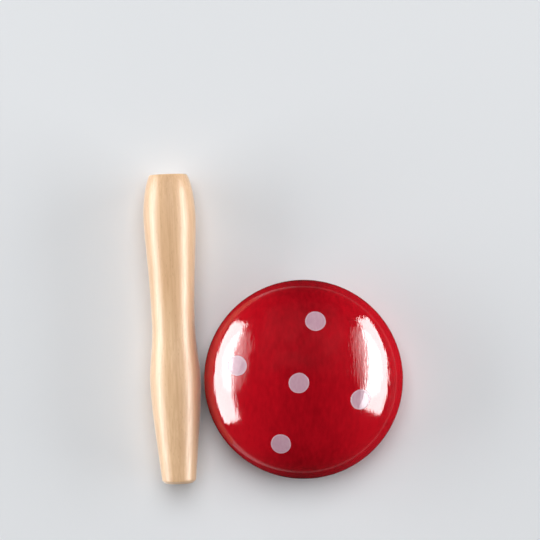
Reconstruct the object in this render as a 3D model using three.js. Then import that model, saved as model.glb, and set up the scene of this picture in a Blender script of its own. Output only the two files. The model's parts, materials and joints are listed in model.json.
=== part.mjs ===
// A two-piece darning mushroom, laid out unassembled: the turned cap sits dome up on its flat base and
// the turned stem lies beside it. The stem's narrow end is a plain taper that pushes into the matching
// socket in the cap's base. Millimetres, +Z up, +Y along the stem towards its butt.
import * as THREE from "three";

// Cap
const capDiameter = 60; // across the widest ring
const domeRise = 11.5; // from the widest ring up to the crown
const rimDrop = 8.5; // from the widest ring down to the base
const baseDiameter = 47; // flat face that the cap stands on

// Socket in the cap
const crownWall = 3.3; // wood left between the crown and the tip of the hole
const drillPointHeight = 1.2; // cone that the drill leaves at the bottom
const socketClearance = 0.15; // on the radius, all round the plug
const socketSpare = 1.5; // depth left past the end of a plug pushed in up to its root
const mouthChamfer = 0.8;

// Stem: lengths run along its axis, from the butt to the plug
const buttDiameter = 11.7; // where the softened edge of the butt ends
const buttEdgeWidth = 0.45; // of that edge, seen from the end
const buttEdgeRun = 0.4;
const bellyRun = 13; // softened edge to belly
const bellyDiameter = 15.8;
const waistRun = 32.4; // belly to waist
const waistDiameter = 13;
const bulgeRun = 15.5; // waist to bulge
const bulgeDiameter = 15.4;
const neckRun = 17.9; // bulge to the root of the plug
const plugRootDiameter = 13;
const plugHalfAngle = THREE.MathUtils.degToRad(5.9);
const plugChamfer = 0.9; // bevel round the plug's end face

// Fullness of the stem's curves: how much of a run each handle takes up
const buttLeave = 0.25;
const buttSwell = 0.7; // share of the butt's widening that the first handle takes up
const bellyArrive = 0.36;
const bellyLeave = 0.16;
const waistArrive = 0.38;
const waistLeave = 0.38;
const bulgeArrive = 0.22;
const bulgeLeave = 0.4;
const neckArrive = 0.22;

// How the two pieces lie
const sideGap = 0.95; // between the cap's widest ring and the stem's bulge
const bulgeAhead = 0.5; // how far the bulge lies past the cap's centre, along +Y
const stemYaw = THREE.MathUtils.degToRad(2.1); // the stem isn't quite parallel to +Y

// Facets
const capSegments = 96;
const domeRings = 18;
const rimRings = 8;
const stemSegments = 52;
const curveRings = 10;
const edgeRings = 3;

const radius = (diameter) => diameter / 2;
const point = (across, along) => new THREE.Vector2(across, along);

// The plug fills the socket's depth but for the spare, and both narrow at the same rate.
const plugSlope = Math.tan(plugHalfAngle);
const socketDepth = rimDrop + domeRise - crownWall - drillPointHeight;
const plugLength = socketDepth - socketSpare;

// Points along an arc of an ellipse, without its first point.
function ellipsePoints(centre, halfWidth, halfHeight, fromAngle, toAngle, rings) {
  return Array.from({ length: rings }, (_, i) => {
    const angle = THREE.MathUtils.lerp(fromAngle, toAngle, (i + 1) / rings);
    return point(centre.x + halfWidth * Math.cos(angle), centre.y + halfHeight * Math.sin(angle));
  });
}

// Half of the cap's section, from the crown over the rim and the base into the socket. The base is at 0.
function capProfile() {
  const crown = point(0, rimDrop + domeRise);
  const dome = ellipsePoints(point(0, rimDrop), radius(capDiameter), domeRise, Math.PI / 2, 0, domeRings);
  const rimCentre = point(radius(baseDiameter), rimDrop);
  const rimWidth = radius(capDiameter) - radius(baseDiameter);
  const rim = ellipsePoints(rimCentre, rimWidth, rimDrop, 0, -Math.PI / 2, rimRings);

  const mouthRadius = radius(plugRootDiameter) + socketClearance;
  const socket = [
    point(mouthRadius + mouthChamfer, 0),
    point(mouthRadius - plugSlope * mouthChamfer, mouthChamfer),
    point(mouthRadius - plugSlope * socketDepth, socketDepth),
    point(0, socketDepth + drillPointHeight),
  ];
  return [crown, ...dome, ...rim, ...socket];
}

// Points along a curve, without its first point.
const curvePoints = (curve, rings) => curve.getPoints(rings).slice(1);
const sweep = (from, leave, arrive, to) =>
  curvePoints(new THREE.CubicBezierCurve(from, leave, arrive, to), curveRings);

// The stem's outline, from the middle of the butt at 0 down to the middle of the plug's end. At the
// belly, the waist and the bulge the outline runs along the axis, and it meets the plug at the plug's taper.
// The butt's softened edge runs into the widening butt without a corner.
function stemProfile() {
  const edgeEnd = point(radius(buttDiameter), -buttEdgeRun);
  const belly = point(radius(bellyDiameter), edgeEnd.y - bellyRun);
  const waist = point(radius(waistDiameter), belly.y - waistRun);
  const bulge = point(radius(bulgeDiameter), waist.y - bulgeRun);
  const plugRoot = point(radius(plugRootDiameter), bulge.y - neckRun);
  const plugEnd = point(plugRoot.x - plugSlope * plugLength, plugRoot.y - plugLength);

  const swell = point(edgeEnd.x + (belly.x - edgeEnd.x) * buttSwell, edgeEnd.y - bellyRun * buttLeave);
  const buttSlope = (swell.x - edgeEnd.x) / (edgeEnd.y - swell.y);
  const faceRim = point(edgeEnd.x - buttEdgeWidth, 0);
  const softCorner = point(edgeEnd.x - buttEdgeRun * buttSlope, 0);
  const neckHandle = neckRun * neckArrive;

  return [
    point(0, 0),
    faceRim,
    ...curvePoints(new THREE.QuadraticBezierCurve(faceRim, softCorner, edgeEnd), edgeRings),
    ...sweep(edgeEnd, swell, point(belly.x, belly.y + bellyRun * bellyArrive), belly),
    ...sweep(
      belly,
      point(belly.x, belly.y - waistRun * bellyLeave),
      point(waist.x, waist.y + waistRun * waistArrive),
      waist,
    ),
    ...sweep(
      waist,
      point(waist.x, waist.y - bulgeRun * waistLeave),
      point(bulge.x, bulge.y + bulgeRun * bulgeArrive),
      bulge,
    ),
    ...sweep(
      bulge,
      point(bulge.x, bulge.y - neckRun * bulgeLeave),
      point(plugRoot.x + plugSlope * neckHandle, plugRoot.y + neckHandle),
      plugRoot,
    ),
    point(plugEnd.x + plugSlope * plugChamfer, plugEnd.y + plugChamfer),
    point(plugEnd.x - plugChamfer, plugEnd.y),
    point(0, plugEnd.y),
  ];
}

// Both outlines run from the top of the axis to the bottom, and a lathe faces outwards the other way.
const turned = (profile, segments) => new THREE.LatheGeometry(profile.toReversed(), segments);

function makeCap() {
  const redLacquer = new THREE.MeshStandardMaterial({ color: 0xa30517, roughness: 0.22, metalness: 0 });
  const cap = new THREE.Mesh(turned(capProfile(), capSegments), redLacquer);
  cap.name = "cap";
  cap.rotation.x = Math.PI / 2;
  return cap;
}

function makeStem() {
  const paleBeech = new THREE.MeshStandardMaterial({ color: 0xd8b48c, roughness: 0.55, metalness: 0 });
  const stem = new THREE.Mesh(turned(stemProfile(), stemSegments), paleBeech);
  stem.name = "stem";
  return stem;
}

// The stem turns about its bulge, which lies beside the cap. It rests on its bulge and its belly, and
// the belly is the fatter of the two, so the axis rises a little towards the butt.
function layBesideCap(stem) {
  const bulgeToBelly = bulgeRun + waistRun;
  const rise = Math.asin((radius(bellyDiameter) - radius(bulgeDiameter)) / bulgeToBelly);
  stem.position.y = bulgeToBelly + bellyRun + buttEdgeRun;
  const lying = new THREE.Group();
  lying.add(stem);
  lying.rotation.set(rise, 0, stemYaw, "ZXY");
  lying.position.set(-radius(capDiameter) - sideGap - radius(bulgeDiameter), bulgeAhead, radius(bulgeDiameter));
  return lying;
}

const mushroom = new THREE.Group();
mushroom.add(makeCap(), layBesideCap(makeStem()));

// The origin is the middle of the pair's footprint, on the surface that they lie on.
mushroom.updateMatrixWorld(true);
const bounds = new THREE.Box3().setFromObject(mushroom, true);
const footprint = bounds.getCenter(new THREE.Vector3());
mushroom.position.set(-footprint.x, -footprint.y, -bounds.min.z);

export default mushroom;
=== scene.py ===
# %% [markdown]
# # A darning mushroom in two loose pieces
# A darning mushroom is a small wooden dome on a stem. The dome goes inside the sock under the hole, the
# sock is gathered round the stem, and the needle weaves across the dome. This one comes apart: the stem's
# narrow end is a taper that pushes into a socket under the cap. The two pieces lie side by side, the cap
# dome up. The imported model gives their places, and this script gives them their surfaces.

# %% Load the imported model
import json
import math

import bpy
import numpy as np
from mathutils import Matrix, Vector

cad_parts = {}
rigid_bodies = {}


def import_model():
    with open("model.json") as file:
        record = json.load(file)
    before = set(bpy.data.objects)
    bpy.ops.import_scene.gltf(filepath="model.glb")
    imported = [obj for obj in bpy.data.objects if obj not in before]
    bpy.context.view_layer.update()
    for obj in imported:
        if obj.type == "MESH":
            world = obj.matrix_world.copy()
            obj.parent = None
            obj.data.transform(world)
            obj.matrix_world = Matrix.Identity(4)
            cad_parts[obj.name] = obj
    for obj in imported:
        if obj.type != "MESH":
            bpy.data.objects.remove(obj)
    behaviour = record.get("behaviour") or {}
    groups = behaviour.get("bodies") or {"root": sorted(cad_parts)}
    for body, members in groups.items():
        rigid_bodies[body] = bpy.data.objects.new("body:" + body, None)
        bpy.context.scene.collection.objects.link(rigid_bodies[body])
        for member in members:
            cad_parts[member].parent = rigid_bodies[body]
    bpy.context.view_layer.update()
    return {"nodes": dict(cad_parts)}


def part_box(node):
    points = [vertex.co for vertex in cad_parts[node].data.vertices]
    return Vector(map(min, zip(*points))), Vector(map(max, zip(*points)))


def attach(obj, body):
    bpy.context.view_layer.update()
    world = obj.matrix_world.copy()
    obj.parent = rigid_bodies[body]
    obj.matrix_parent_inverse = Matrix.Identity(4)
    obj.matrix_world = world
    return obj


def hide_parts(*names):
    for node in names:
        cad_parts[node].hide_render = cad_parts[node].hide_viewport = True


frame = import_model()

MM, MICRON = 1e-3, 1e-6

# %% [markdown]
# ## Where the pieces lie
# The cap stands level, so the middle of its box is its axis. The stem lies a few degrees off the y axis,
# and no box says how much. A turned solid is the same all round, so the direction in which its points
# spread the most is exactly its axis, and their mean lies on it. Reading the axis this way keeps the
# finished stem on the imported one, whatever angle it was packed at.

# %% Measure the cap's place and the stem's axis
cap_low, cap_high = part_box("cap")
cap_axis = (cap_low + cap_high) / 2
CAP_PLACE = Matrix.Translation((cap_axis.x, cap_axis.y, cap_low.z))


def packed_points(node):
    """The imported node's vertices, one row each, in metres."""
    mesh = frame["nodes"][node].data
    flat = np.empty(len(mesh.vertices) * 3, np.float32)
    mesh.vertices.foreach_get("co", flat)
    return flat.reshape(-1, 3).astype(float)


def lying_axis(points):
    """A frame with its origin at the far end in +y and z along the axis, from there to the near end.
    The axis is the eigenvector of the points' scatter with the largest eigenvalue; x stays level."""
    middle = points.mean(0)
    scatter = (points - middle).T @ (points - middle)
    axis = np.linalg.eigh(scatter)[1][:, -1]
    along = -axis if axis[1] > 0 else axis
    across = np.cross((0, 0, 1), along)
    across /= np.linalg.norm(across)
    start = middle + along * ((points - middle) @ along).min()
    place = np.eye(4)
    place[:3] = np.column_stack([across, np.cross(along, across), along, start])
    return Matrix(place)


STEM_PLACE = lying_axis(packed_points("stem"))
yaw = math.degrees(math.atan2(STEM_PLACE[0][2], -STEM_PLACE[1][2]))
print("cap axis", [round(v / MM, 2) for v in cap_axis], "mm; stem turned", round(yaw, 2), "degrees")

# %% [markdown]
# ## Turned surfaces
# Both pieces come off a lathe, so each is an outline carried round an axis. A Screw or Spin modifier could
# do that, but the outline here is a formula and the film of lacquer has an edge that wanders as it goes
# round, so the whole grid of points is worked out at once: one row for each ring, one column for each angle.

# %% Helpers for outlines and turned surfaces
def curve(start, leave, arrive, end, steps):
    """A cubic Bezier curve from start to end, pulled towards leave and arrive, without its first point."""
    t = np.linspace(0, 1, steps + 1)[1:, None]
    pulls = (1 - t) ** 3, 3 * t * (1 - t) ** 2, 3 * t**2 * (1 - t), t**3
    return sum(pull * np.array(point, float) for pull, point in zip(pulls, (start, leave, arrive, end)))


def softened(before, corner, after, reach, steps=4):
    """A corner between two straight runs worn round: a parabola that leaves and joins the runs at reach."""
    before, corner, after = (np.array(point, float) for point in (before, corner, after))
    start = corner + (before - corner) / np.linalg.norm(before - corner) * reach
    end = corner + (after - corner) / np.linalg.norm(after - corner) * reach
    t = np.linspace(0, 1, steps + 1)[:, None]
    return (1 - t) ** 2 * start + 2 * t * (1 - t) * corner + t**2 * end


def elliptic_arc(middle, half_width, half_height, start, end, steps):
    """Points of an ellipse round middle, at angles from start to end in degrees, without the first one."""
    angle = np.radians(np.linspace(start, end, steps + 1)[1:])
    return np.column_stack([middle[0] + half_width * np.cos(angle), middle[1] + half_height * np.sin(angle)])


def turned(outline, around):
    """Carries an outline round z: point (i, j) has radius r[i] and height h[i], at the angle 360 j / around.
    The outline is rows of (radius, height), or a grid of them with one column for each angle. Its first
    and last rows lie on the axis and become single points, so both poles are closed."""
    outline = np.asarray(outline, float)
    if outline.ndim == 2:
        outline = np.repeat(outline[:, None, :], around, axis=1)
    angle = 2 * np.pi * np.arange(around) / around
    radius, height = outline[..., 0], outline[..., 1]
    grid = np.stack([radius * np.cos(angle), radius * np.sin(angle), height], axis=-1)
    rings = grid[1:-1].reshape(-1, 3)
    points = np.vstack([grid[0, :1], rings, grid[-1, :1]])

    here = np.arange(around)
    beside = (here + 1) % around
    row = 1 + around * np.arange(len(outline) - 3)[:, None]
    quads = np.stack([row + here, row + around + here, row + around + beside, row + beside], axis=-1)
    last_row, last = 1 + around * (len(outline) - 3), len(points) - 1
    first_fan = np.column_stack([np.zeros(around, int), 1 + here, 1 + beside])
    last_fan = np.column_stack([last_row + here, np.full(around, last), last_row + beside])
    return points, quads.reshape(-1, 4).tolist() + first_fan.tolist() + last_fan.tolist()


def make_piece(name, points, faces, place, material):
    """Puts points in millimetres, moved by place, and faces into a smooth mesh object at the origin."""
    turn = np.array(place)
    placed = points * MM @ turn[:3, :3].T + turn[:3, 3]
    mesh = bpy.data.meshes.new(name)
    mesh.from_pydata(placed, [], faces)
    mesh.shade_smooth()
    mesh.materials.append(material)
    piece = bpy.data.objects.new(name, mesh)
    bpy.context.scene.collection.objects.link(piece)
    print(f"{name}: {len(points)} points, {len(faces)} faces")
    return piece


# %% [markdown]
# ## Building materials from nodes
# Each finish is one Principled BSDF with textures in front of it. Short helpers keep that readable: one
# adds a node and fills or links its inputs in one line, and the others use it for the arithmetic on
# numbers, vectors and colours, and for noise that is stretched along the grain.

# %% Helpers for shader nodes
def add(tree, kind, inputs=(), **settings):
    """Adds a node, sets its properties, and fills each input with a value or links it to a socket."""
    made = tree.nodes.new("ShaderNode" + kind)
    for name, value in settings.items():
        setattr(made, name, value)
    for name, value in dict(inputs).items():
        if isinstance(value, bpy.types.NodeSocket):
            tree.links.new(value, made.inputs[name])
        else:
            made.inputs[name].default_value = value
    return made


def reckon(tree, operation, *values):
    """One Math node; returns its output."""
    return add(tree, "Math", enumerate(values), operation=operation).outputs[0]


def weighted(tree, start, *terms):
    """start plus the sum of value times weight over the terms; returns the output."""
    total = start
    for value, weight in terms:
        total = reckon(tree, "MULTIPLY_ADD", value, weight, total)
    return total


def spread(tree, value, low, high, to_low=0.0, to_high=1.0):
    """Maps value from low..high to to_low..to_high with soft ends, and stops there; returns the output."""
    limits = {"Value": value, "From Min": low, "From Max": high, "To Min": to_low, "To Max": to_high}
    return add(tree, "MapRange", limits, interpolation_type="SMOOTHSTEP").outputs["Result"]


def scaled(tree, vector, factors):
    """Multiplies a vector by factors, axis by axis; returns the output."""
    return add(tree, "VectorMath", {0: vector, 1: factors}, operation="MULTIPLY").outputs[0]


def magnitude(tree, vector):
    """How long a vector is; returns the output."""
    return add(tree, "VectorMath", {0: vector}, operation="LENGTH").outputs["Value"]


def part_of(tree, vector, axis):
    """A vector's X, Y or Z; returns the output."""
    return add(tree, "SeparateXYZ", {"Vector": vector}).outputs[axis]


def tint(tree, factor, first, second):
    """Mixes two colours by factor; returns the colour."""
    mixed = add(tree, "Mix", data_type="RGBA")
    for socket, value in zip((mixed.inputs[0], mixed.inputs[6], mixed.inputs[7]), (factor, first, second)):
        if isinstance(value, bpy.types.NodeSocket):
            tree.links.new(value, socket)
        else:
            socket.default_value = value
    return mixed.outputs[2]


def stretched_noise(tree, place, per_metre, squeeze, detail=3.0, roughness=0.55):
    """Noise whose grains are 1 / per_metre across, and 1 / squeeze times as long along each axis."""
    pulled = scaled(tree, place, squeeze)
    grain = {"Vector": pulled, "Scale": per_metre, "Detail": detail, "Roughness": roughness}
    return add(tree, "TexNoise", grain).outputs[0]


def srgb(red, green, blue):
    """A screen colour of 0 to 255 as the linear colour that a shader takes."""
    channels = np.array([red, green, blue]) / 255
    linear = np.where(channels <= 0.04045, channels / 12.92, ((channels + 0.055) / 1.055) ** 2.4)
    return (*linear.tolist(), 1.0)


def new_material(name, roughness, ior=1.5):
    """A Principled material; returns the material, its tree, its shader and its Object coordinates."""
    material = bpy.data.materials.new(name)
    material.use_nodes = True
    tree = material.node_tree
    shader = tree.nodes["Principled BSDF"]
    shader.inputs["Roughness"].default_value = roughness
    shader.inputs["IOR"].default_value = ior
    return material, tree, shader, add(tree, "TexCoord").outputs["Object"]


def relief(tree, shader, height, depth):
    """Bends the surface by height times depth, in metres."""
    bump = add(tree, "Bump", {"Strength": 1.0, "Distance": depth, "Height": height})
    tree.links.new(bump.outputs["Normal"], shader.inputs["Normal"])


# %% [markdown]
# ## Beech
# Turned beech is pale and close-grained. Its growth rings are tubes round a pith that lies outside the
# stick, so where the turned outline swells or narrows they come out as long loops, and on an end face as
# arcs. Short brown flecks of ray lie along the grain. A painted picture of grain would slide over the
# swells; a pattern worked out in the solid wood shows the loops and arcs by itself. The stem and the
# underside of the cap both use it, so it is a node group, built once.

# %% The beech figure, a node group
FLATTEN = (1.0, 1.0, 0.0)


def build_beech_figure():
    """Place is a point in the wood in metres, with z along the grain. Ring, Fibre and Fleck are masks
    of 0 to 1 for the dark side of a growth ring, the fine streaks and the ray flecks; Pore is a height."""
    tree = bpy.data.node_groups.new("beech_figure", "ShaderNodeTree")
    tree.interface.new_socket("Place", in_out="INPUT", socket_type="NodeSocketVector")
    tree.interface.new_socket("Ring Width", in_out="INPUT", socket_type="NodeSocketFloat")
    for name in ("Ring", "Fibre", "Fleck", "Pore"):
        tree.interface.new_socket(name, in_out="OUTPUT", socket_type="NodeSocketFloat")
    given = tree.nodes.new("NodeGroupInput").outputs
    given_out = tree.nodes.new("NodeGroupOutput")

    slow = stretched_noise(tree, given["Place"], 55.0, (1.0, 1.0, 0.12), detail=2.0)
    wander = reckon(tree, "MULTIPLY", reckon(tree, "SUBTRACT", slow, 0.5), 0.0065)
    from_pith = magnitude(tree, scaled(tree, given["Place"], FLATTEN))
    even = reckon(tree, "DIVIDE", reckon(tree, "ADD", from_pith, wander), given["Ring Width"])
    run = add(tree, "CombineXYZ", {"X": even}).outputs[0]
    luck = add(tree, "TexNoise", {"Vector": run, "Scale": 0.42, "Detail": 1.0}).outputs[0]
    years = weighted(tree, even, (luck, 2.4))
    season = reckon(tree, "FRACT", years)
    late = reckon(tree, "POWER", season, 2.6)
    next_spring = spread(tree, season, 0.93, 1.0, 1.0, 0.0)
    tree.links.new(reckon(tree, "MULTIPLY", late, next_spring), given_out.inputs["Ring"])

    broad = stretched_noise(tree, given["Place"], 520.0, (1.0, 1.0, 0.05), detail=3.0, roughness=0.6)
    fine = stretched_noise(tree, given["Place"], 1800.0, (1.0, 1.0, 0.045), detail=2.0)
    fibre = weighted(tree, 0.0, (broad, 0.35), (fine, 0.65))
    tree.links.new(spread(tree, fibre, 0.36, 0.66), given_out.inputs["Fibre"])

    rays = scaled(tree, given["Place"], (1.0, 1.0, 0.2))
    cells = add(tree, "TexVoronoi", {"Vector": rays, "Scale": 2300.0, "Randomness": 1.0})
    lens = spread(tree, cells.outputs["Distance"], 0.1, 0.34, 1.0, 0.0)
    lot = add(tree, "SeparateColor", {"Color": cells.outputs["Color"]}).outputs[0]
    chosen = spread(tree, lot, 0.45, 0.7)
    tree.links.new(reckon(tree, "MULTIPLY", lens, chosen), given_out.inputs["Fleck"])

    hollows = stretched_noise(tree, given["Place"], 5200.0, (1.0, 1.0, 0.05))
    pits = spread(tree, hollows, 0.56, 0.72, 1.0, 0.0)
    tree.links.new(weighted(tree, 0.0, (pits, 0.5), (broad, 0.5)), given_out.inputs["Pore"])
    return tree


BEECH_FIGURE = build_beech_figure()
print("beech figure:", len(BEECH_FIGURE.nodes), "nodes")

# %% [markdown]
# ### Bare beech on the stem and under the cap
# The stem's grain runs along its axis. Under the cap it runs across, because a wide disc is cut from a
# plank. A Mapping node turns the Object coordinates to suit, so one function makes both materials: it
# takes the place of the piece, where the pith lies, and how strongly the lathe has marked the wood.
# Sanded fibres catch light that grazes them, so a little sheen makes the wood paler towards its edges.

# %% Bare beech
BEECH_PALE = srgb(234, 198, 158)
BEECH_WARM = srgb(222, 181, 139)
BEECH_LATE = srgb(203, 157, 113)
BEECH_FLECK = srgb(170, 122, 84)
PORE_DEPTH = 14 * MICRON


def bare_beech(name, place, pith, ring_width, lathe_lines, tree_axis=(0.0, 0.0, 0.0)):
    """Beech whose own frame is place, with its pith at (x, y) millimetres in that frame turned by
    tree_axis. lathe_lines is the depth, in microns, of the fine grooves round the frame's z axis."""
    material, tree, shader, spot = new_material(name, roughness=0.42)
    shader.inputs["Sheen Weight"].default_value = 0.8
    shader.inputs["Sheen Roughness"].default_value = 0.4
    own = add(tree, "Mapping", {"Vector": spot}, vector_type="TEXTURE")
    own.inputs["Location"].default_value = place.translation
    own.inputs["Rotation"].default_value = place.to_euler()
    in_plank = add(tree, "Mapping", {"Vector": own.outputs[0]}, vector_type="TEXTURE")
    in_plank.inputs["Rotation"].default_value = tree_axis
    in_plank.inputs["Location"].default_value = (pith[0] * MM, pith[1] * MM, 0.0)
    figure = add(tree, "Group", node_tree=BEECH_FIGURE)
    tree.links.new(in_plank.outputs[0], figure.inputs["Place"])
    figure.inputs["Ring Width"].default_value = ring_width * MM

    patches = stretched_noise(tree, in_plank.outputs[0], 70.0, (1.0, 1.0, 0.25), detail=2.0)
    ground = tint(tree, spread(tree, patches, 0.3, 0.7), BEECH_PALE, BEECH_WARM)
    streaked = tint(tree, reckon(tree, "MULTIPLY", figure.outputs["Fibre"], 0.5), ground, BEECH_LATE)
    ringed = tint(tree, reckon(tree, "MULTIPLY", figure.outputs["Ring"], 0.3), streaked, BEECH_LATE)
    flecked = tint(tree, reckon(tree, "MULTIPLY", figure.outputs["Fleck"], 0.3), ringed, BEECH_FLECK)
    tree.links.new(flecked, shader.inputs["Base Color"])

    tree.links.new(weighted(tree, 0.32, (figure.outputs["Fibre"], 0.12)), shader.inputs["Roughness"])

    along = part_of(tree, own.outputs[0], "Z")
    reach = magnitude(tree, scaled(tree, own.outputs[0], FLATTEN))
    feed = add(tree, "CombineXYZ", {"Z": reckon(tree, "ADD", along, reach)}).outputs[0]
    lines = add(tree, "TexNoise", {"Vector": feed, "Scale": 1900.0, "Detail": 2.0}).outputs[0]
    height = weighted(tree, figure.outputs["Pore"], (lines, lathe_lines * MICRON / PORE_DEPTH))
    relief(tree, shader, height, PORE_DEPTH)
    return material


STEM_BEECH = bare_beech("stem_beech", STEM_PLACE, pith=(52, 9), ring_width=1.9, lathe_lines=5)
print("materials:", [material.name for material in bpy.data.materials])

# %% [markdown]
# ## The stem
# The stem is one turned stick: a flat butt with a softened edge, a belly for the palm, a waist, a bulge
# where finger and thumb hold, and a straight taper that plugs into the cap. The outline is four Bezier
# curves between those stations. At the belly, the waist and the bulge both handles run along the axis, so
# the curves meet there without a kink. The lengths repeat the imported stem's, and the check below
# compares the finer surface with it.

# %% The stem's outline
BUTT_DIAMETER, BUTT_EDGE_WIDTH, BUTT_EDGE_RUN = 11.7, 0.45, 0.4
BELLY_DIAMETER, BELLY_AT = 15.8, 13.4
WAIST_DIAMETER, WAIST_AT = 13.0, 45.8
BULGE_DIAMETER, BULGE_AT = 15.4, 61.3
PLUG_ROOT_DIAMETER, PLUG_ROOT_AT = 13.0, 79.2
PLUG_LENGTH, PLUG_HALF_ANGLE, PLUG_BEVEL = 14.0, 5.9, 0.9
PLUG_SLOPE = math.tan(math.radians(PLUG_HALF_ANGLE))
BEVEL_TOP_WEAR, BEVEL_END_WEAR = 0.35, 0.3

# Fullness of the curves: the share of a run that each handle takes up
BUTT_SWELL, BUTT_LEAVE = 0.7, 0.25
BELLY_ARRIVE, BELLY_LEAVE = 0.36, 0.16
WAIST_ARRIVE, WAIST_LEAVE = 0.38, 0.38
BULGE_ARRIVE, BULGE_LEAVE = 0.22, 0.4
ROOT_ARRIVE = 0.22


def stem_outline():
    """Rows of (radius, distance from the butt) in millimetres, from the butt's middle to the plug's."""
    edge = np.array([BUTT_DIAMETER / 2, BUTT_EDGE_RUN])
    belly = np.array([BELLY_DIAMETER / 2, BELLY_AT])
    waist = np.array([WAIST_DIAMETER / 2, WAIST_AT])
    bulge = np.array([BULGE_DIAMETER / 2, BULGE_AT])
    root = np.array([PLUG_ROOT_DIAMETER / 2, PLUG_ROOT_AT])
    end = root + (-PLUG_SLOPE * PLUG_LENGTH, PLUG_LENGTH)

    swell = (belly - edge) * (BUTT_SWELL, BUTT_LEAVE)
    face_rim = edge - (BUTT_EDGE_WIDTH, BUTT_EDGE_RUN)
    face_edge = face_rim - (0.3, 0)
    corner = edge - swell / swell[1] * BUTT_EDGE_RUN
    to_belly, to_waist, to_bulge, to_root = np.diff([edge[1], BELLY_AT, WAIST_AT, BULGE_AT, PLUG_ROOT_AT])
    near_root = root + np.array((PLUG_SLOPE, -1)) * to_root * ROOT_ARRIVE
    bevel_top = end + (PLUG_SLOPE * PLUG_BEVEL, -PLUG_BEVEL)
    bevel_end = end - (PLUG_BEVEL, 0)

    def after(station, run):
        """The point that lies run past a station, along the axis."""
        return station + (0, run)

    return np.vstack([
        (0, 0),
        (face_rim[0] / 2, 0),
        face_edge,
        curve(face_edge, face_rim, corner, edge, 16),
        curve(edge, edge + swell, after(belly, -to_belly * BELLY_ARRIVE), belly, 40),
        curve(belly, after(belly, to_waist * BELLY_LEAVE), after(waist, -to_waist * WAIST_ARRIVE), waist, 60),
        curve(waist, after(waist, to_bulge * WAIST_LEAVE), after(bulge, -to_bulge * BULGE_ARRIVE), bulge, 40),
        curve(bulge, after(bulge, to_root * BULGE_LEAVE), near_root, root, 40),
        np.linspace(root, bevel_top, 22)[1:-1],
        softened(root, bevel_top, bevel_end, BEVEL_TOP_WEAR),
        softened(bevel_top, bevel_end, (0, end[1]), BEVEL_END_WEAR),
        (bevel_end[0] / 2, end[1]),
        (0, end[1]),
    ])


def farthest_from_outline(node, place, outline):
    """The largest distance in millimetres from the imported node's points to the outline, at their station."""
    turn = np.array(place.inverted())
    own = packed_points(node) @ turn[:3, :3].T + turn[:3, 3]
    radius, station = np.hypot(own[:, 0], own[:, 1]) / MM, own[:, 2] / MM
    on_side = (station > 1) & (station < outline[-1, 1] - 1.2)
    finer = np.interp(station[on_side], outline[:, 1], outline[:, 0])
    return float(np.abs(radius[on_side] - finer).max())


# %% The stem, turned and checked
STEM_AROUND = 160
outline = stem_outline()
points, faces = turned(outline, STEM_AROUND)
stem = make_piece("turned_stem", points, faces, STEM_PLACE, STEM_BEECH)
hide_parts("stem")
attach(stem, "stem")
print("farthest from the packed stem:", round(farthest_from_outline("stem", STEM_PLACE, outline), 3), "mm")

# %% [markdown]
# ## The cap
# On the bench the cap is a turned wooden dome with a hole bored in its flat base, dipped or sprayed red
# over the dome and just round the edge of the base. So it is two pieces here: the wood, and the film of
# lacquer over it, which ends under the cap in a line that wanders a little. A mask in a material could draw
# that line, but a film of its own thickness has a true edge.

# %% The wood of the cap
CAP_RADIUS = (cap_high.x - cap_low.x) / 2 / MM
CAP_HEIGHT = (cap_high.z - cap_low.z) / MM
DOME_RISE = 11.5
RING_HEIGHT = CAP_HEIGHT - DOME_RISE
BASE_RADIUS = 23.5
SOCKET_CLEARANCE, SOCKET_DEPTH = 0.15, 15.5
SOCKET_RADIUS = PLUG_ROOT_DIAMETER / 2 + SOCKET_CLEARANCE
DRILL_POINT, MOUTH_CHAMFER = 1.2, 0.8
MOUTH_WEAR, THROAT_WEAR, BOTTOM_WEAR = 0.18, 0.15, 0.12
FILM, HAIR = 0.12, 0.01  # the film's thickness, and the gap that keeps it off the wood
CAP_AROUND = 240


def cap_skin(inset, dome_steps, rim_steps):
    """The dome and the rim from the crown to the edge of the base, moved in by inset."""
    radius, base = CAP_RADIUS - inset, BASE_RADIUS - inset
    dome = elliptic_arc((0, RING_HEIGHT), radius, DOME_RISE - inset, 90, 0, dome_steps)
    rim = elliptic_arc((base, RING_HEIGHT), radius - base, RING_HEIGHT - inset, 0, -90, rim_steps)
    return np.vstack([(0, CAP_HEIGHT - inset), dome, rim])


def cap_wood_outline():
    """The bare wood: the skin set in by the film, the flat base, and the bored socket with its chamfer."""
    inside = FILM + HAIR
    mouth = (SOCKET_RADIUS + MOUTH_CHAMFER, inside)
    throat = (SOCKET_RADIUS - PLUG_SLOPE * MOUTH_CHAMFER, MOUTH_CHAMFER)
    corner = (SOCKET_RADIUS - PLUG_SLOPE * SOCKET_DEPTH, SOCKET_DEPTH)
    tip = (0, SOCKET_DEPTH + DRILL_POINT)
    edge = (BASE_RADIUS, inside)
    return np.vstack([
        cap_skin(inside, 48, 20)[:-1],
        np.linspace(edge, mouth, 24)[:-1],
        softened(edge, mouth, throat, MOUTH_WEAR),
        softened(mouth, throat, corner, THROAT_WEAR),
        np.linspace(throat, corner, 14)[1:-1],
        softened(throat, corner, tip, BOTTOM_WEAR),
        np.linspace(corner, tip, 6)[1:],
    ])


GRAIN_ALONG_Y = (math.radians(-90), 0.0, 0.0)
CAP_BEECH = bare_beech(
    "cap_beech", CAP_PLACE, pith=(4, -38), ring_width=2.6, lathe_lines=9, tree_axis=GRAIN_ALONG_Y
)
points, faces = turned(cap_wood_outline(), CAP_AROUND)
cap_wood = make_piece("cap_wood", points, faces, CAP_PLACE, CAP_BEECH)
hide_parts("cap")
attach(cap_wood, "cap")
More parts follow.
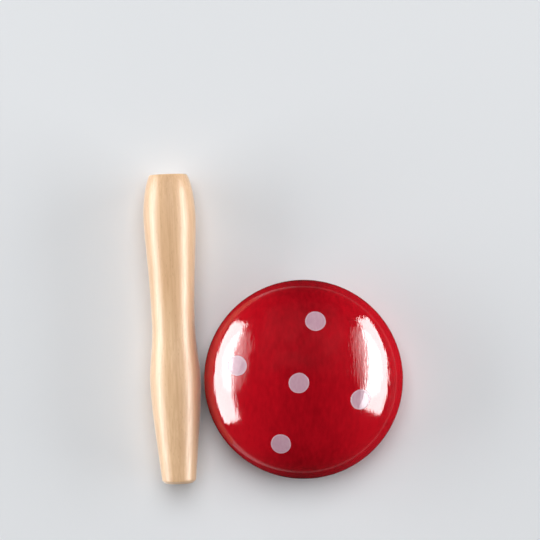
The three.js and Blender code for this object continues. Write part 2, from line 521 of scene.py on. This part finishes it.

# %% [markdown]
# ### Red lacquer
# The lacquer is a deep red with a wet gloss. It isn't glass-smooth: the grain of the wood under it shows
# through as short shallow pits along y, sprayed film has a slight orange peel, the lathe leaves faint
# rings, and a few nibs of dust are caught in it. They show where the lamps are mirrored, as a ragged edge
# to the highlight, so they are relief and not colour. The red itself is mottled a little. Light and shade
# are also painted into it: painted shade deepens the red along the crest and towards its two ends, and
# painted light brightens it on the flanks, which face the side lamps.

# %% The red lacquer's material
# Deep red for the mottle and for painted shade; bright red for the mottle and for painted light.
LACQUER_BRIGHT_AND_LIT = srgb(190, 12, 28)
LACQUER_DEEP_AND_SHADED = srgb(132, 2, 14)


def red_lacquer():
    """Red film over wood, mottled, with painted light and shade in its level; height is in microns."""
    material, tree, shader, spot = new_material("red_lacquer", roughness=0.1, ior=1.8)
    own = add(tree, "Mapping", {"Vector": spot}, vector_type="TEXTURE")
    own.inputs["Location"].default_value = CAP_PLACE.translation
    place = own.outputs[0]

    cloud = stretched_noise(tree, place, 90.0, (1.0, 1.0, 1.0), detail=4.0)
    mottle = stretched_noise(tree, place, 900.0, (1.0, 0.35, 1.0), detail=3.0)
    # Painted light and shade: lighter red on the flanks away from the crest, where the side lamps fall, and
    # darker red along the crest and at its two ends.
    off_crest = magnitude(tree, scaled(tree, place, (1.0, 0.15, 0.0)))
    painted_flank_light = spread(tree, off_crest, 0.0, 0.018)
    painted_crest_shade = reckon(tree, "SUBTRACT", 1.0, painted_flank_light)
    along_crest = reckon(tree, "ABSOLUTE", part_of(tree, place, "Y"))
    painted_end_shade = reckon(tree, "MULTIPLY", spread(tree, along_crest, 0.012, 0.03), painted_crest_shade)
    level = weighted(tree, -0.39, (painted_flank_light, 0.48), (painted_end_shade, -0.35), (cloud, 0.65), (mottle, 1.0))
    tree.links.new(tint(tree, level, LACQUER_DEEP_AND_SHADED, LACQUER_BRIGHT_AND_LIT), shader.inputs["Base Color"])

    haze = stretched_noise(tree, place, 260.0, (1.0, 1.0, 1.0), detail=4.0)
    tree.links.new(spread(tree, haze, 0.3, 0.75, 0.05, 0.1), shader.inputs["Roughness"])

    peel = stretched_noise(tree, place, 620.0, (1.0, 1.0, 1.0), detail=1.0)
    speckle = stretched_noise(tree, place, 1700.0, (1.0, 0.6, 1.0), detail=1.0)
    grain = spread(tree, stretched_noise(tree, place, 1500.0, (1.0, 0.13, 1.0), detail=2.0), 0.35, 0.7)
    reach = magnitude(tree, scaled(tree, place, FLATTEN))
    ring_place = add(tree, "CombineXYZ", {"X": reach}).outputs[0]
    rings = add(tree, "TexNoise", {"Vector": ring_place, "Scale": 1100.0, "Detail": 1.0}).outputs[0]
    cells = add(tree, "TexVoronoi", {"Vector": place, "Scale": 330.0, "Randomness": 1.0})
    lot = add(tree, "SeparateColor", {"Color": cells.outputs["Color"]}).outputs[0]
    speck = spread(tree, cells.outputs["Distance"], 0.02, 0.09, 1.0, 0.0)
    nibs = reckon(tree, "MULTIPLY", speck, reckon(tree, "GREATER_THAN", lot, 0.75))
    height = weighted(tree, 0.0, (peel, 9.0), (speckle, 3.5), (grain, 7.5), (rings, 6.0), (nibs, 18.0))
    relief(tree, shader, height, MICRON)
    return material


# %% The film of lacquer
LACQUER = red_lacquer()
LIP_RADIUS, LIP_WANDER, LIP_WIDTH = 22.3, 0.22, 0.25


def lacquer_outline(around):
    """A closed skin FILM thick. Its edge under the cap wanders: the radius there is LIP_RADIUS plus three
    sines of the angle, and a quarter of an ellipse rounds it off. The rest is the same all round."""
    angle = 2 * np.pi * np.arange(around) / around
    wander = np.sin(3 * angle + 0.7) + 0.6 * np.sin(7 * angle + 2.1) + 0.35 * np.sin(16 * angle)
    edge = LIP_RADIUS + LIP_WANDER * wander
    outer, inner = cap_skin(0.0, 72, 28), cap_skin(FILM, 24, 12)[::-1]

    def all_round(rows):
        """The same rows at every angle."""
        return np.repeat(np.asarray(rows, float)[:, None, :], around, axis=1)

    lip_angle = np.radians(np.linspace(0, 90, 5))[:, None]
    rounding = np.broadcast_arrays(edge - LIP_WIDTH * np.sin(lip_angle), FILM * (1 - np.cos(lip_angle)))
    under = np.linspace(BASE_RADIUS, edge, 6)[1:-1]
    flat = np.stack([under, np.zeros_like(under)], axis=-1)
    return np.vstack([all_round(outer), flat, np.stack(rounding, axis=-1), all_round(inner)])


points, faces = turned(lacquer_outline(CAP_AROUND), CAP_AROUND)
lacquer = make_piece("cap_lacquer", points, faces, CAP_PLACE, LACQUER)
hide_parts("cap")
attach(lacquer, "cap")

# %% [markdown]
# ### The painted dots
# Five dots are stamped on the dome, one near the crown and four round it. The whole pattern sits a little
# off the middle and a little turned, and two dots have slipped sideways, as hand work does. The white is
# thin: red shows through in the middle of each dot, and the paint gathers in a slightly thicker, whiter
# bead at its edge. It is as glossy as the lacquer, so the highlights run on across the dots. Each dot is a
# film of its own that follows the dome, because a disc cut in a plane wouldn't.

# %% The dots' material
DOT_THIN = srgb(190, 148, 164)
DOT_THICK = srgb(208, 176, 188)


def dot_paint():
    """White paint over red. The attribute rim is 0 in a dot's middle and 1 at its edge, and cover is how
    much of the red the paint hides."""
    material, tree, shader, spot = new_material("dot_paint", roughness=0.1, ior=1.7)
    rim = add(tree, "Attribute", attribute_name="rim").outputs["Fac"]
    thick = spread(tree, rim, 0.8, 0.97)
    streaks = stretched_noise(tree, spot, 1500.0, (1.0, 0.4, 1.0), detail=3.0)
    uneven = spread(tree, streaks, 0.3, 0.7, 0.0, 0.3)
    cover = weighted(tree, uneven, (thick, 0.5))
    tree.links.new(tint(tree, cover, DOT_THIN, DOT_THICK), shader.inputs["Base Color"])
    tree.links.new(spread(tree, streaks, 0.3, 0.7, 0.07, 0.13), shader.inputs["Roughness"])
    relief(tree, shader, streaks, 6 * MICRON)
    return material


# %% The dots on the dome
DOT_DIAMETER = 6.05
DOT_RING = 18.95
PATTERN_OFFSET = (-1.53, -0.55)
PATTERN_TURN = -15.3
PAINT, BEAD, SINK = 0.03, 0.015, 0.03
BEAD_AT, BEAD_SPREAD = 0.94, 0.05
DOT_RINGS, EDGE_RINGS, DOT_AROUND = 20, 8, 96


def on_dome(x, y):
    """Points of the dome over (x, y), and its unit normals there: the dome is half an ellipsoid, and its
    normal is the ellipsoid's gradient."""
    drop = np.sqrt(1 - (x**2 + y**2) / CAP_RADIUS**2)
    surface = np.stack([x, y, RING_HEIGHT + DOME_RISE * drop], axis=-1)
    normal = np.stack([x / CAP_RADIUS**2, y / CAP_RADIUS**2, drop / DOME_RISE], axis=-1)
    return surface, normal / np.linalg.norm(normal, axis=-1, keepdims=True)


def dot_film(x, y, wobble):
    """A closed lens of paint round (x, y). Rings of points in the dome's tangent plane are dropped on to
    the dome, then lifted along its normal by the film's height, and sunk a little on the way back. A
    ring's radius wavers by two sines of the angle, and the bead is a bell curve over the way out."""
    middle, up = on_dome(np.array(x), np.array(y))
    east = np.cross((0.0, 1.0, 0.0), up)
    east /= np.linalg.norm(east)
    north = np.cross(up, east)
    share = np.concatenate([np.linspace(0, 0.85, DOT_RINGS), np.linspace(0.87, 1, EDGE_RINGS)])
    top = PAINT + BEAD * np.exp(-(((share - BEAD_AT) / BEAD_SPREAD) ** 2))
    top[-1] = 0.0
    share = np.concatenate([share, [0.6, 0]])
    lift = np.concatenate([top, [-SINK, -SINK]])
    angle = 2 * np.pi * np.arange(DOT_AROUND) / DOT_AROUND
    waver = 0.012 * np.sin(2 * angle + wobble) + 0.006 * np.sin(5 * angle + 2 * wobble)
    out = share[:, None] * DOT_DIAMETER / 2 * (1 + waver)
    plane = middle + (out * np.cos(angle))[..., None] * east + (out * np.sin(angle))[..., None] * north
    surface, normal = on_dome(plane[..., 0], plane[..., 1])
    return surface + normal * lift[:, None, None], share


def ring_faces(rows, around):
    """The faces of a grid whose first and last rows are one point each, as turned() makes them."""
    return turned(np.zeros((rows, around, 2)), around)[1]


def paint_dot(name, x, y, wobble):
    """Makes one dot, with each point's share of the way to the edge stored as the attribute rim."""
    grid, share = dot_film(x, y, wobble)
    points = np.vstack([grid[0, :1], grid[1:-1].reshape(-1, 3), grid[-1, :1]])
    dot = make_piece(name, points, ring_faces(len(grid), DOT_AROUND), CAP_PLACE, DOT_PAINT)
    rim = np.concatenate([share[:1], np.repeat(share[1:-1], DOT_AROUND), share[-1:]])
    dot.data.attributes.new("rim", "FLOAT", "POINT").data.foreach_set("value", rim.astype(np.float32))
    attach(dot, "cap")


DOT_PAINT = dot_paint()
DOT_SLIPS = {"right": 0.0, "top": -0.05, "left": 0.0, "bottom": -0.32}
paint_dot("dot_middle", *PATTERN_OFFSET, wobble=0.4)
for number, (name, slip) in enumerate(DOT_SLIPS.items()):
    turn = math.radians(90 * number + PATTERN_TURN)
    x = PATTERN_OFFSET[0] + DOT_RING * math.cos(turn) + slip
    y = PATTERN_OFFSET[1] + DOT_RING * math.sin(turn)
    paint_dot("dot_" + name, x, y, wobble=1.7 * number)

# %% [markdown]
# ## Floor and background
# The pieces lie on a plain pale floor, and far out the floor turns into the background. The pale background
# is painted for the camera, and at the horizon, more faintly, for mirrored rays, which gives the dome a
# thin pale line round its rim. Higher up the mirrored room is dark. On the cap's side of the stem the floor
# has a painted dark reflection: mirrors see it dark, though it is pale to the camera and to the light.
# Together they keep the lacquer a deep red.

# %% The floor and the world
FLOOR_COLOUR = srgb(226, 229, 232)
FLOOR_PATCHES = srgb(229, 231, 234)
# The floor's colour in mirrors on the cap's side of the stem: a painted dark reflection.
FLOOR_MIRRORED = srgb(52, 53, 56)
BACKGROUND = srgb(233, 235, 237)
BLACK = srgb(0, 0, 0)
ROOM_LOW, ROOM_HIGH = (0.04, 0.04, 0.04, 1.0), (0.012, 0.012, 0.012, 1.0)
MIRRORED_SHARE = 0.3  # how strongly mirrors see the background
DARK_REFLECTION_FROM, DARK_REFLECTION_TO = -0.036, -0.024  # metres along x
FADE_FROM, FADE_TO = 0.2, 0.7  # metres from the middle
FLOOR_HALF, FLOOR_UNDER = 3.0, 0.00005


def background_rays(tree):
    """Two outputs: 1 for rays straight from the camera or through glass, and 1 for mirrored rays."""
    ray = add(tree, "LightPath").outputs
    return reckon(tree, "MAXIMUM", ray["Is Camera Ray"], ray["Is Transmission Ray"]), ray["Is Glossy Ray"]


def make_floor():
    """A square floor, a hair under the pieces, with a very faint unevenness in its tone."""
    material, tree, shader, spot = new_material("pale_floor", roughness=0.8)
    cloud = stretched_noise(tree, spot, 3.0, (1.0, 1.0, 1.0), detail=2.0)
    pale = tint(tree, cloud, FLOOR_COLOUR, FLOOR_PATCHES)
    direct, mirrored = background_rays(tree)
    # Painted reflection: on the cap's side of the stem, mirrored rays see the floor dark.
    painted_dark_reflection = spread(tree, part_of(tree, spot, "X"), DARK_REFLECTION_FROM, DARK_REFLECTION_TO)
    lit = tint(tree, reckon(tree, "MULTIPLY", mirrored, painted_dark_reflection), pale, FLOOR_MIRRORED)
    away = spread(tree, magnitude(tree, spot), FADE_FROM, FADE_TO)
    faint = reckon(tree, "MULTIPLY", mirrored, MIRRORED_SHARE)
    far = reckon(tree, "MULTIPLY", away, reckon(tree, "MAXIMUM", direct, faint))
    tree.links.new(tint(tree, far, lit, BLACK), shader.inputs["Base Color"])
    tree.links.new(tint(tree, far, BLACK, BACKGROUND), shader.inputs["Emission Color"])
    shader.inputs["Emission Strength"].default_value = 1.0
    signs = ((-1, -1), (1, -1), (1, 1), (-1, 1))
    corners = [(across * FLOOR_HALF, along * FLOOR_HALF, -FLOOR_UNDER) for across, along in signs]
    mesh = bpy.data.meshes.new("floor")
    mesh.from_pydata(corners, [], [(0, 1, 2, 3)])
    mesh.materials.append(material)
    floor = bpy.data.objects.new("floor", mesh)
    bpy.context.scene.collection.objects.link(floor)


def make_world():
    """Pale to the camera, faintly pale to mirrors at the horizon, and a dim room to everything else."""
    world = bpy.data.worlds.new("studio")
    world.use_nodes = True
    tree = world.node_tree
    background = tree.nodes["Background"]
    upward = part_of(tree, add(tree, "TexCoord").outputs["Generated"], "Z")
    room = tint(tree, spread(tree, upward, 0.0, 0.6), ROOM_LOW, ROOM_HIGH)
    direct, mirrored = background_rays(tree)
    at_horizon = reckon(tree, "MULTIPLY", mirrored, spread(tree, upward, 0.02, 0.12, MIRRORED_SHARE, 0.0))
    seen = reckon(tree, "MAXIMUM", direct, at_horizon)
    tree.links.new(tint(tree, seen, room, BACKGROUND), background.inputs["Color"])
    bpy.context.scene.world = world


make_floor()
make_world()
print("floor", 2 * FLOOR_HALF, "m square; background painted over it from", FADE_FROM, "m out")

# %% [markdown]
# ### Lamps
# A large soft lamp high on the far side lights the tops, and two low lamps, one on each side, light the
# flanks. The dome and the stem would mirror these at places that suit neither, so they only light, and the
# highlights come from lamps that are only mirrored: a tall strip, a weaker shoulder and a still weaker
# fringe on each side for the lacquer, which together fade inwards, and a sheen on each side for the wood.
# Each of them is linked to the piece that it is meant for. The strips stand more upright than the rest: a
# lamp that faces the dome squarely makes a bar with slanting ends, and an upright one makes an arc with
# ends square to it.

# %% The lamps
LEFT, RIGHT, FAR = 180.0, 0.0, 90.0


def flat_lamp(
    name, azimuth, tilt, width, radiance, length, ahead=0.0, lean=0.0, distance=0.9, shape="RECTANGLE"
):
    """A flat lamp at distance metres, tilt degrees from overhead towards azimuth, width degrees across and
    length metres long, moved ahead metres along y. It faces the pieces, or stands lean degrees more
    upright than that. A flat source that shines evenly gives off pi times its radiance and its area."""
    across = 2 * distance * math.tan(math.radians(width) / 2)
    area = across * length * (math.pi / 4 if shape == "ELLIPSE" else 1.0)
    data = bpy.data.lights.new(name, "AREA")
    data.shape, data.size, data.size_y = shape, across, length
    data.energy = math.pi * radiance * area
    lamp = bpy.data.objects.new(name, data)
    turn, round_z = math.radians(tilt), math.radians(azimuth)
    out, up = distance * math.sin(turn), distance * math.cos(turn)
    lamp.location = (out * math.cos(round_z), out * math.sin(round_z) + ahead, up)
    lamp.rotation_euler = (0.0, turn + math.radians(lean), round_z)
    bpy.context.scene.collection.objects.link(lamp)
    return lamp


def mirrored_only(lamp, pieces):
    """Keeps a lamp to the reflections of some pieces: it lights nothing else."""
    lamp.visible_diffuse = False
    receivers = bpy.data.collections.new(lamp.name + "_receivers")
    for piece in pieces:
        receivers.objects.link(piece)
    lamp.light_linking.receiver_collection = receivers


for lamp in (
    flat_lamp("top", FAR, 26.0, 46.0, 3.45, length=1.6, distance=1.8),
    flat_lamp("low_left", LEFT, 77.0, 26.0, 6.5, length=0.92, ahead=0.04),
    flat_lamp("low_right", RIGHT, 77.0, 26.0, 6.0, length=0.92, ahead=0.04),
):
    lamp.visible_glossy = False
on_cap = [piece for piece in bpy.data.objects if piece.name.startswith(("cap_lacquer", "dot_"))]
for name, azimuth, tilt, width, radiance, length, ahead, lean, shape, pieces in (
    ("strip_left", LEFT + 1.2, 57.8, 34.0, 10.5, 1.18, 0.09, 24.0, "RECTANGLE", on_cap),
    ("strip_right", RIGHT - 15.8, 53.2, 29.5, 10.5, 1.12, 0.44, 30.0, "RECTANGLE", on_cap),
    ("shoulder_left", LEFT, 47.5, 24.0, 2.3, 0.60, 0.15, 0.0, "ELLIPSE", on_cap),
    ("shoulder_right", RIGHT, 45.0, 21.0, 2.4, 0.66, 0.13, 0.0, "ELLIPSE", on_cap),
    ("fringe_left", LEFT, 44.5, 30.0, 1.3, 0.66, 0.15, 0.0, "ELLIPSE", on_cap),
    ("fringe_right", RIGHT, 42.0, 26.0, 1.3, 0.72, 0.14, 0.0, "ELLIPSE", on_cap),
    ("sheen_left", LEFT, 77.0, 26.0, 15.0, 0.92, 0.04, 0.0, "RECTANGLE", [stem]),
    ("sheen_right", RIGHT, 67.0, 28.0, 13.0, 0.92, 0.04, 0.0, "RECTANGLE", [stem]),
):
    mirrored_only(flat_lamp(name, azimuth, tilt, width, radiance, length, ahead, lean, shape=shape), pieces)
print("lamps:", len(bpy.data.lights))

# %% [markdown]
# ### Camera
# The camera looks straight down from about two thirds of a metre, so the top of the dome looks a little
# larger against its base than from far away. The camera's height, place and lens were fitted together, so
# that the outlines of both pieces fall where the photograph has them.

# %% The camera
CAMERA_PLACE = (-0.93, 17.73, 663.5)
PIXELS_PER_RADIAN = 2172.5
PICTURE = 540
SENSOR = 36.0


def make_camera():
    """Straight overhead. The picture is 540 pixels square, and an angle of one radian spans
    PIXELS_PER_RADIAN of them, which gives the lens for the sensor's width."""
    data = bpy.data.cameras.new("camera")
    data.sensor_width = SENSOR
    data.lens = SENSOR * PIXELS_PER_RADIAN / PICTURE
    camera = bpy.data.objects.new("camera", data)
    camera.location = [value * MM for value in CAMERA_PLACE]
    bpy.context.scene.collection.objects.link(camera)
    bpy.context.scene.camera = camera
    bpy.context.scene.view_settings.view_transform = "Standard"
    print("lens", round(data.lens, 1), "mm")


make_camera()
